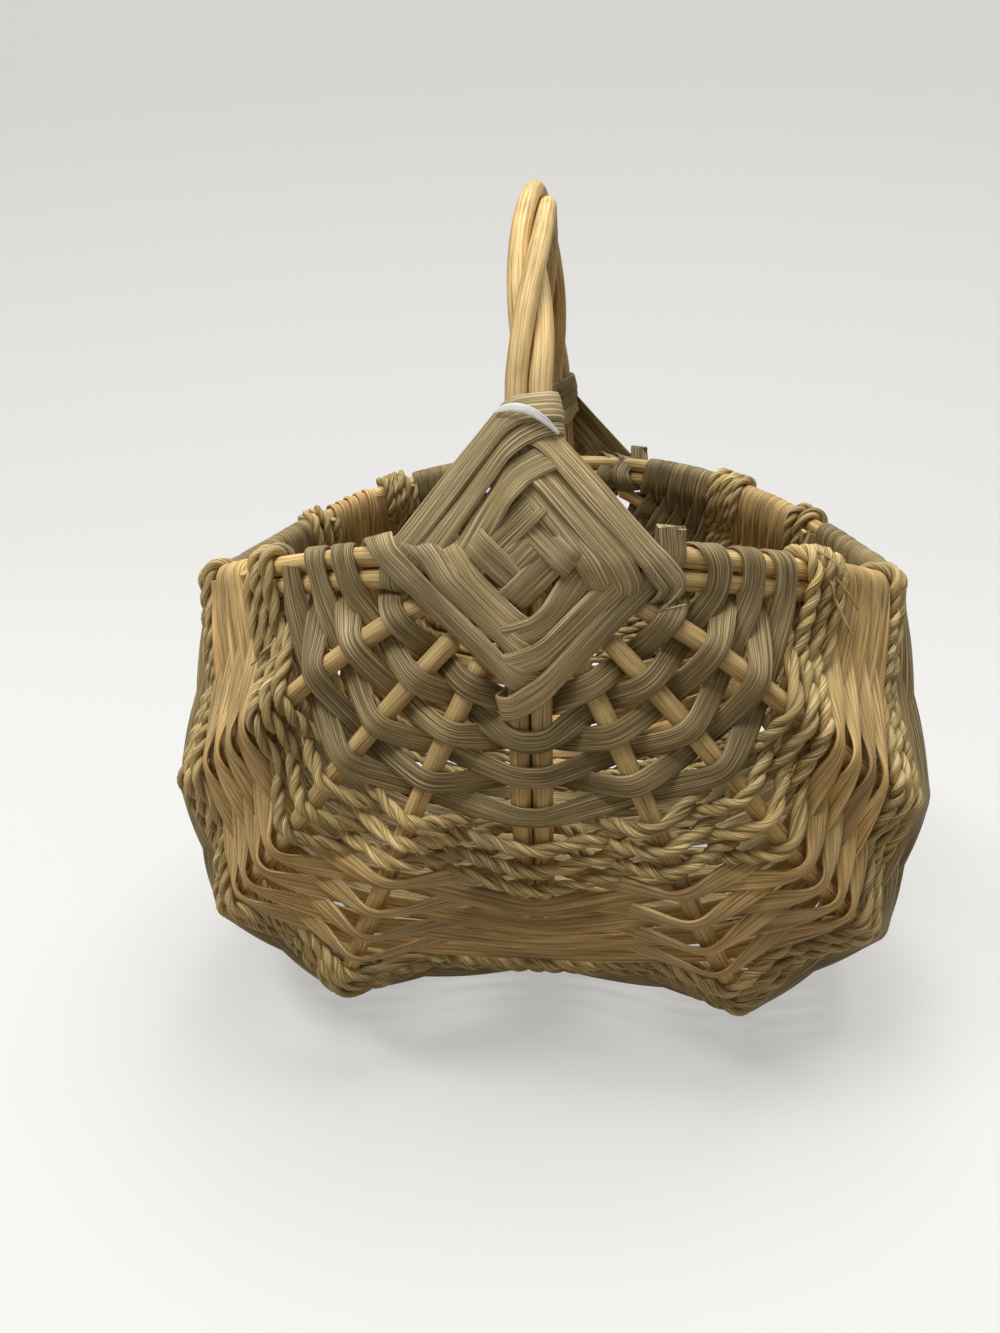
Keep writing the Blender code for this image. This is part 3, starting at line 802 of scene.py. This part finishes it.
def lashing_contacts(far):
    """The lashing's bearings: over an arm, round behind it, and over it again.

    It comes to an arm over the strip that left there a turn before, and leaves over its own coming.
    """
    stops = [(arm, places) for turn in LASHING_TURNS for arm, places in zip(ARMS, turn)]
    contacts = []
    for number, (name, (comes, goes)) in enumerate(stops):
        arm = Arm(name, far)
        in_last_turn = number >= len(stops) - len(ARMS)
        if number > 0:
            slope = comes / stops[number - 1][1][1]
            wrap_step = LAST_WRAP_STEP if in_last_turn else 1.0
            contacts += arm.crossing(comes, slope, COMING_LEVELS, wrap_step)
            if arm.upright:
                contacts.append(arm.bear(2, BACK_LEVEL, (comes + goes) / 2 + WRAP_SHIFT))
        after = stops[number + 1][1][0] if number + 1 < len(stops) else LASHING_END
        levels, wrap_step = LEAVING_LEVELS, WRAP_STEP
        if in_last_turn:
            wrap_step = LAST_WRAP_STEP if name == "top" else 1.0
            levels = TUCK_LEVELS if name == "right" else levels
        contacts += arm.crossing(goes, -goes / after, levels, wrap_step)
    arm = Arm("right", far)
    contacts += arm.crossing(LASHING_END, LASHING_END / stops[-1][1][1], (BACK_LEVEL, BACK_LEVEL))
    tip = arm.bear(1, BACK_LEVEL, LASHING_TAB[0])
    tip.radius = 0.0
    tip.arrives = tip.arrives + np.array((0.0, -arm.hand * LASHING_TAB[1], LASHING_TAB[2]))
    return contacts + [tip]


def short_strand(far, middle, reach, height, across, tilt=0.0, **feel):
    """A short strip before the crossing, at a height over its reeds for each share of its reach."""
    front = REED_RADIUS - keel_point(0.0, RIGHT_REED)[0][1]
    points = CORE_CENTRE + middle + reach * CORE_SHARES - (front + height) * AHEAD
    if far:
        points[:, 1] *= -1
    extras = np.tile((*across, -tilt if far else tilt), (len(points), 1))
    return Strand(points, extras, **feel)


def core_strand(far, number):
    """One of the four short strips round the middle, each over the end of the one before."""
    turn = math.pi / 4 + math.pi / 2 * number
    outward = np.array((math.cos(turn), 0.0, math.sin(turn)))
    along = np.array((-math.sin(turn), 0.0, math.cos(turn)))
    level = CORE_LEVEL - CORE_STEP * CORE_SHARES
    height = level * SMOKED_THICKNESS - CORE_DIP * CORE_SHARES**CORE_DIP_POWER
    return short_strand(far, CORE_DISTANCE * outward, CORE_REACH * along, height, outward, LASHING_TILT)


def knot_strand(far, slope):
    """A short strip straight over the middle of the crossing, seen between the four round it."""
    x, _, z = unit(np.array((slope, 0.0, 1.0)))
    height = KNOT_LEVEL * SMOKED_THICKNESS * (2 + slope) - KNOT_DIP * CORE_SHARES**2
    reach = KNOT_REACH * np.array((x, 0.0, z))
    return short_strand(far, 0.0, reach, height, (z, 0.0, -x), ease=1.0)


# A sliver sprung loose beside the near lashing's right corner: its root and its tips
SLIVER = ((28.8, -107.0, -9.0), ((34.6, -108.0, -7.0), (33.4, -109.0, -3.0)))
SLIVER_RADIUS = 0.3


def add_lashing(far, finish):
    """A whole lashing: the knot and core strips in its middle, and the long strand wound round them."""
    shape = Shape()
    for slope in (-1, 1):
        add_flat_reed(shape, knot_strand(far, slope), *LASHING_SIZE, seed=66 + slope)
    for number in range(4):
        add_flat_reed(shape, core_strand(far, number), *LASHING_SIZE, seed=76 + number)
    if not far:
        add_loose_fibres(shape, *SLIVER, SLIVER_RADIUS, seed=90)
    strand = Strand(*taut_path(lashing_contacts(far)), ease=1.0)
    add_flat_reed(shape, strand, *LASHING_SIZE, seed=70 + far, taper=LASHING_TIP_TAPER)
    where = "far" if far else "near"
    shape.piece(f"{where}_lashing_windings", finish, f"lashing_{where}")


# How weavers are eased, and how far they stand off the ribs
SMOKED_FEEL = {"stiffness": 1.5, "standoff": 0.4}
TAN_FEEL = {"stiffness": 2.2, "standoff": 1.1, "tilts": TAN_TILTS}
ROPE_STIFFNESS = 1.3

# Where the near seagrass has frayed, right and left: the root and the tips of its fibres
FRAYS = {
    (63.5, -80.0, 1.0): (
        (77.0, -84.0, -21.5), (74.5, -85.0, -17.5), (77.5, -83.5, -14.0), (71.5, -84.5, -11.0),
        (74.0, -83.0, -6.0),
    ),
    (-64.0, -86.5, -21.5): ((-69.0, -89.0, -25.5), (-65.5, -89.5, -27.5), (-71.5, -88.5, -28.5)),
}
FRAY_RADIUS = 0.36


def end_rows(far):
    """The rows of the four bands at one end. The far end's smoked rows lie closer."""
    smoked = [Row(kind, places) for kind, places in ROWS_OF_SMOKED]
    if far:
        smoked = spread_rows(ROWS_OF_SMOKED[0][1], BORDERS[0], FAR_SMOKED_ROWS)
    seagrass = spread_rows(BORDERS[0], BORDERS[1], OUTER_SEAGRASS_ROWS[far])
    tan = spread_rows(BORDERS[1], BORDERS[2], TAN_ROWS[far])
    inner = spread_rows(BORDERS[2], BORDERS[3], INNER_SEAGRASS_ROWS)
    bands = (smoked, seagrass, tan, inner)
    return [[Row(row.kind, row.places, far) for row in rows] for rows in bands]


def add_flat_band(name, node, rows, size, seed, finish, slot, ring_step=RING_STEP, **feel):
    """A band of flat reed, woven as one long weaver."""
    shape = Shape()
    strand = woven_strand(rows, *size, seed, **feel)
    add_flat_reed(shape, strand, *size, seed=seed + 10, ring_step=ring_step)
    shape.piece(name, finish, node)


def add_rope_band(name, node, rows, seed, finish, frays):
    """A band of twisted seagrass, woven as one long weaver."""
    shape = Shape()
    strand = woven_strand(rows, ROPE_DIAMETER, ROPE_DIAMETER, seed, stiffness=ROPE_STIFFNESS)
    add_rope(shape, strand, seed + 10)
    for root, tips in frays.items():
        add_loose_fibres(shape, root, tips, FRAY_RADIUS, seed + 30)
    shape.piece(name, finish, node)


def add_bands(smoked, straw, amber):
    """The four bands at each end, and the wide one across the middle."""
    for far, where in ((False, "near"), (True, "far")):
        smoked_rows, outer_rows, tan_rows, inner_rows = end_rows(far)
        name, node = f"{where}_smoked_rows", f"smoked_weave_{where}"
        add_flat_band(name, node, smoked_rows, SMOKED_SIZE, 100 + far, smoked, "smoked_reed", **SMOKED_FEEL)
        name, node = f"{where}_seagrass_rows", f"seagrass_weave_{where}"
        add_rope_band(name, node, outer_rows, 120 + far, straw, {} if far else FRAYS)
        name, node = f"{where}_tan_rows", f"tan_weave_{where}"
        add_flat_band(name, node, tan_rows, TAN_SIZE, 140 + far, amber, "tan_reed", **TAN_FEEL)
        name, node = f"{where}_inner_seagrass_rows", f"inner_seagrass_weave_{where}"
        add_rope_band(name, node, inner_rows, 160 + far, straw, {})
    name, node = "middle_smoked_rows", "smoked_middle_weave"
    add_flat_band(name, node, middle_rows(), MIDDLE_SIZE, 180, smoked, "smoked_reed", ring_step=3)


# The white strip, a crescent: half its span, the middle of its ends, its bow and its fall to the right
STRIP_POINTS = 40
STRIP_HALF_SPAN = 6.8
STRIP_MIDDLE = (-0.4, -108.6, 31.8)
STRIP_BOW = 3.0
STRIP_FALL = 2.3
STRIP_ACROSS = (0.0, 0.45, 1.0)
STRIP_STEP = 0.4
STRIP_EASE = 0.5
STRIP_TAPER = 6.0


def add_white_strip(pale):
    """A thin pale crescent over the top corner of the near lashing."""
    shape = Shape()
    share = np.linspace(-1, 1, STRIP_POINTS)
    bow = STRIP_BOW * share * share
    fall = STRIP_BOW * (1 - share * share) - STRIP_FALL * share
    points = np.array(STRIP_MIDDLE) + np.stack([STRIP_HALF_SPAN * share, bow, fall], axis=1)
    extras = np.tile((*STRIP_ACROSS, 0.0), (len(points), 1))
    strand = Strand(points, extras, step=STRIP_STEP, ease=STRIP_EASE)
    add_flat_reed(shape, strand, *STRIP_SIZE, seed=5, ring_step=1, taper=STRIP_TAPER)
    shape.piece("tucked_white_strip", pale, "white_strip")


# Grain of every strand: streaks to the millimetre along it and across it, and patches this wide
FIBRES_ALONG = 0.035
PORES_ALONG = 0.09
PORES_TO_FIBRES = 2.2
SLOW_ALONG, SLOW_ACROSS = 0.014, 0.06
PATCH_SIZE = 26.0
FINE_DETAIL, SOFT_DETAIL = 3.0, 2.0
NOISE_ROUGHNESS = 0.6
# What the grain does: where noise is read, how much pores darken, and their height
NOISE_SPAN = (0.3, 0.7)
NOISE_MIDDLE = 0.5
PORE_SPAN = (0.30, 0.46)
PORE_SHADE = 0.55
PORE_HEIGHT = 0.6
ROUGHNESS_SPAN = (0.7, 0.45)
SPECULAR_LEVEL = 0.3


class Nodes:
    """The nodes of a new material or world. An input is a number, a colour or another's output."""

    def __init__(self, holder):
        holder.use_nodes = True
        self.tree = holder.node_tree

    def feed(self, socket, value):
        if isinstance(value, bpy.types.NodeSocket):
            self.tree.links.new(value, socket)
        elif socket.type == "RGBA":
            socket.default_value = (*value, 1.0)
        else:
            socket.default_value = value

    def fill(self, node, **inputs):
        """Gives a node its inputs, whose names have _ for each space."""
        for key, value in inputs.items():
            self.feed(node.inputs[key.replace("_", " ")], value)
        return node

    def node(self, kind, **inputs):
        return self.fill(self.tree.nodes.new(kind), **inputs)

    def grain(self, along, across, detail=FINE_DETAIL):
        """Streaks along the strand, so many to the millimetre each way."""
        place = self.node("ShaderNodeUVMap")
        place.uv_map = GRAIN_MAP
        scale = (along / MAP_SCALE, across / MAP_SCALE, 1.0)
        spot = self.node("ShaderNodeMapping", Vector=place.outputs["UV"], Scale=scale).outputs["Vector"]
        look = {"Scale": 1.0, "Detail": detail, "Roughness": NOISE_ROUGHNESS}
        return self.node("ShaderNodeTexNoise", Vector=spot, **look).outputs["Fac"]

    def patches(self, size):
        """Soft patches about so many millimetres wide, fixed to the object."""
        spot = self.node("ShaderNodeTexCoord").outputs["Object"]
        noise = self.node("ShaderNodeTexNoise", Vector=spot, Scale=1 / (size * MM), Detail=FINE_DETAIL)
        return noise.outputs["Fac"]

    def ramp(self, value, stops):
        """A blend of three colours, each at its place."""
        made = self.node("ShaderNodeValToRGB", Fac=value)
        elements = made.color_ramp.elements
        elements.new(NOISE_MIDDLE)
        for element, (place, colour) in zip(elements, stops):
            element.position = place
            element.color = (*colour, 1.0)
        return made.outputs["Color"]

    def mix(self, blend, factor, first, second):
        made = self.node("ShaderNodeMix")
        made.data_type = "RGBA"
        made.blend_type = blend
        for index, value in ((0, factor), (6, first), (7, second)):
            self.feed(made.inputs[index], value)
        return made.outputs[2]

    def math(self, operation, first, second):
        made = self.node("ShaderNodeMath")
        made.operation = operation
        self.feed(made.inputs[0], first)
        self.feed(made.inputs[1], second)
        return made.outputs[0]

    def map_range(self, value, old, new):
        """The value, moved from one span to another."""
        spans = {"From_Min": old[0], "From_Max": old[1], "To_Min": new[0], "To_Max": new[1]}
        return self.node("ShaderNodeMapRange", Value=value, **spans).outputs["Result"]

    def seen(self):
        """1 for what is seen, straight, in a gloss or through glass, and 0 for light that lands on things."""
        path = self.node("ShaderNodeLightPath")
        total = path.outputs["Is Camera Ray"]
        for name in ("Is Glossy Ray", "Is Transmission Ray"):
            total = self.math("MAXIMUM", total, path.outputs[name])
        return total


def reed_material(name, colours, across, depth=0.12, contrast=0.17, mottle=0.14, drift=0.28):
    """Split or round reed: fine pores and fibres along it over slow changes of tone.

    colours are those of its dark, plain and light fibres. across is fibres to the millimetre,
    depth the relief in millimetres, contrast how soon a fibre is dark or light, and mottle and
    drift how much patches and long streaks darken and lighten.
    """
    material = bpy.data.materials.new(name)
    nodes = Nodes(material)
    fibres = nodes.grain(FIBRES_ALONG, across)
    pores = nodes.grain(PORES_ALONG, across * PORES_TO_FIBRES, SOFT_DETAIL)
    slow = nodes.grain(SLOW_ALONG, SLOW_ACROSS, SOFT_DETAIL)
    places = (NOISE_MIDDLE - contrast, NOISE_MIDDLE, NOISE_MIDDLE + contrast)
    tone = nodes.ramp(fibres, zip(places, colours))
    shade = nodes.map_range(slow, NOISE_SPAN, (1 - drift, 1 + drift))
    blotch = nodes.map_range(nodes.patches(PATCH_SIZE), NOISE_SPAN, (1 - mottle, 1 + mottle))
    pore_shade = nodes.map_range(pores, PORE_SPAN, (PORE_SHADE, 1.0))
    total = nodes.math("MULTIPLY", nodes.math("MULTIPLY", shade, blotch), pore_shade)
    grey = nodes.node("ShaderNodeCombineColor", Red=total, Green=total, Blue=total).outputs["Color"]
    height = nodes.math("ADD", fibres, nodes.math("MULTIPLY", pores, PORE_HEIGHT))
    bump = nodes.node("ShaderNodeBump", Height=height, Strength=1.0, Distance=depth * MM)
    nodes.fill(
        nodes.tree.nodes["Principled BSDF"],
        Base_Color=nodes.mix("MULTIPLY", 1.0, tone, grey),
        Roughness=nodes.map_range(fibres, NOISE_SPAN, ROUGHNESS_SPAN),
        Specular_IOR_Level=SPECULAR_LEVEL,
        Normal=bump.outputs["Normal"],
    )
    return material


# Finishes: the colours of their dark, plain and light fibres, and how they are grained. The near
# lashing has a lighter copy of the smoked reed: painted light, for the front light that falls on it.
SMOKED_GRAIN = {"across": 3.6, "depth": 0.14, "contrast": 0.16}
FINISHES = {
    "honey_reed": (((0.38, 0.22, 0.07), (0.68, 0.475, 0.195), (0.84, 0.64, 0.32)), {"across": 1.8}),
    "smoked_reed": (((0.085, 0.054, 0.018), (0.25, 0.177, 0.069), (0.61, 0.495, 0.275)), SMOKED_GRAIN),
    # Painted light: the smoked reed again, made lighter for the near lashing, which faces the lamps
    "painted_light_smoked_reed": (((0.135, 0.09, 0.033), (0.398, 0.292, 0.127), (0.8, 0.69, 0.44)), SMOKED_GRAIN),
    "seagrass": (
        ((0.15, 0.09, 0.025), (0.51, 0.36, 0.135), (0.86, 0.70, 0.39)),
        {"across": 2.6, "depth": 0.2, "drift": 0.4},
    ),
    "tan_reed": (
        ((0.29, 0.155, 0.042), (0.56, 0.37, 0.145), (0.76, 0.565, 0.275)),
        {"across": 1.4, "drift": 0.36},
    ),
    "pale_strip": (
        ((0.80, 0.78, 0.72), (0.90, 0.89, 0.85), (0.95, 0.94, 0.92)),
        {"across": 1.0, "depth": 0.03, "contrast": 0.2, "mottle": 0.028},
    ),
}


# Camera: the photograph's height, focal length and horizon in its pixels, place, angles in radians
FRAME_HEIGHT_PX = 1333
FOCAL_PX = 1031.66
HORIZON_PX = 350.52
CAMERA_YAW = -0.0933
CAMERA_PLACE = (14.555, -330.28, 46.503)
OBJECT_ROLL = 0.0133
SENSOR_MM = 36.0
CLIP_START = 0.01


def add_camera():
    """The photograph's camera. The basket stands level here, so the camera takes its roll instead."""
    pitch = math.atan((FRAME_HEIGHT_PX / 2 - HORIZON_PX) / FOCAL_PX)
    level = np.array((math.sin(CAMERA_YAW), math.cos(CAMERA_YAW), 0.0))
    ahead = math.cos(pitch) * level - math.sin(pitch) * UP
    right = np.array((math.cos(CAMERA_YAW), -math.sin(CAMERA_YAW), 0.0))
    cos, sin = math.cos(OBJECT_ROLL), math.sin(OBJECT_ROLL)
    unroll = np.array(((cos, 0, sin), (0, 1, 0), (-sin, 0, cos)))
    place = (unroll @ np.array(CAMERA_PLACE) + LIFT * UP) * MM
    axes = [unroll @ axis for axis in (right, np.cross(right, ahead), -ahead)]
    lens = bpy.data.cameras.new("photo_camera")
    lens.sensor_fit = "VERTICAL"
    lens.sensor_height = SENSOR_MM
    lens.lens = FOCAL_PX / FRAME_HEIGHT_PX * SENSOR_MM
    lens.clip_start = CLIP_START
    camera = new_object("photo_camera", lens)
    camera.matrix_world = Matrix([*np.column_stack([*axes, place]).tolist(), (0.0, 0.0, 0.0, 1.0)])
    bpy.context.scene.camera = camera


# Studio, in metres: the paper's half width, its near and far edges, its height and its bend. The real
# weave dips a little below the level that the solids stand on, and the floor lies lower by as much.
PAPER_HALF_WIDTH = 1.6
PAPER_NEAR, PAPER_FAR = -1.6, 1.3
PAPER_HEIGHT = 1.8
PAPER_BEND = 0.6
PAPER_BEND_STEPS = 12
FLOOR_DROP = 0.0005
# Paper as seen, and as it throws light back
SEEN_PAPER = (0.36, 0.36, 0.35)
LIT_PAPER = (0.21, 0.175, 0.13)
PAPER_GLOW = 0.46
PAPER_GLOW_COLOUR = (0.93, 0.925, 0.90)
PAPER_ROUGHNESS = 0.95
# Lamps: place, target, size in metres, power in watts. Sky: its colour, its light, how bright it looks
LAMPS = {
    "key_lamp": ((-1.1, -1.1, 2.4), (0.0, 0.0, 0.1), 1.3, 92.0),
    "top_lamp": ((0.4, 0.1, 2.6), (0.0, 0.2, 0.1), 1.8, 58.0),
}
SKY_COLOUR = (1.0, 0.995, 0.975)
SKY_LIGHT = 0.24
SKY_SEEN = 0.6


def paper_material():
    """Paper that looks evenly pale, and that throws little light back under the basket."""
    material = bpy.data.materials.new("studio_paper")
    nodes = Nodes(material)
    seen = nodes.seen()
    nodes.fill(
        nodes.tree.nodes["Principled BSDF"],
        Base_Color=nodes.mix("MIX", seen, LIT_PAPER, SEEN_PAPER),
        Emission_Color=PAPER_GLOW_COLOUR,
        Emission_Strength=nodes.math("MULTIPLY", seen, PAPER_GLOW),
        Roughness=PAPER_ROUGHNESS,
    )
    return material


def add_floor():
    """A pale floor that curves up into a backdrop."""
    profile = [(PAPER_NEAR, 0.0), (PAPER_FAR - PAPER_BEND, 0.0)]
    for step in range(1, PAPER_BEND_STEPS + 1):
        angle = math.pi / 2 * step / PAPER_BEND_STEPS
        rise = PAPER_BEND - PAPER_BEND * math.cos(angle)
        profile.append((PAPER_FAR - PAPER_BEND + PAPER_BEND * math.sin(angle), rise))
    profile.append((PAPER_FAR, PAPER_HEIGHT))
    points = [(side * PAPER_HALF_WIDTH, y, z) for y, z in profile for side in (-1, 1)]
    faces = [(2 * i, 2 * i + 1, 2 * i + 3, 2 * i + 2) for i in range(len(profile) - 1)]
    mesh = bpy.data.meshes.new("studio_floor")
    mesh.from_pydata(points, [], faces)
    mesh.shade_smooth()
    mesh.materials.append(paper_material())
    floor = new_object("studio_floor", mesh)
    floor.location.z = -FLOOR_DROP


def add_lamp(name, place, target, size, power):
    """A square soft lamp that faces its target."""
    data = bpy.data.lights.new(name, "AREA")
    data.size = size
    data.energy = power
    x, y, z = unit(np.array(target) - np.array(place))
    lamp = new_object(name, data)
    lamp.location = place
    lamp.rotation_euler = (math.acos(-z), 0.0, math.atan2(x, -y))


def add_sky():
    """An even sky that lights softly and looks paler than it lights."""
    world = bpy.data.worlds.new("studio_sky")
    bpy.context.scene.world = world
    nodes = Nodes(world)
    strength = nodes.map_range(nodes.seen(), (0.0, 1.0), (SKY_LIGHT, SKY_SEEN))
    nodes.fill(nodes.tree.nodes["Background"], Color=SKY_COLOUR, Strength=strength)


def main():
    add_camera()
    add_floor()
    for name, facts in LAMPS.items():
        add_lamp(name, *facts)
    add_sky()
    bpy.context.scene.view_settings.view_transform = "Standard"
    looks = {name: reed_material(name, colours, **grain) for name, (colours, grain) in FINISHES.items()}
    add_reeds(looks["honey_reed"])
    # The near lashing gets the lighter copy of the smoked reed, painted light
    add_lashing(False, looks["painted_light_smoked_reed"])
    add_lashing(True, looks["smoked_reed"])
    add_white_strip(looks["pale_strip"])
    add_bands(looks["smoked_reed"], looks["seagrass"], looks["tan_reed"])


main()
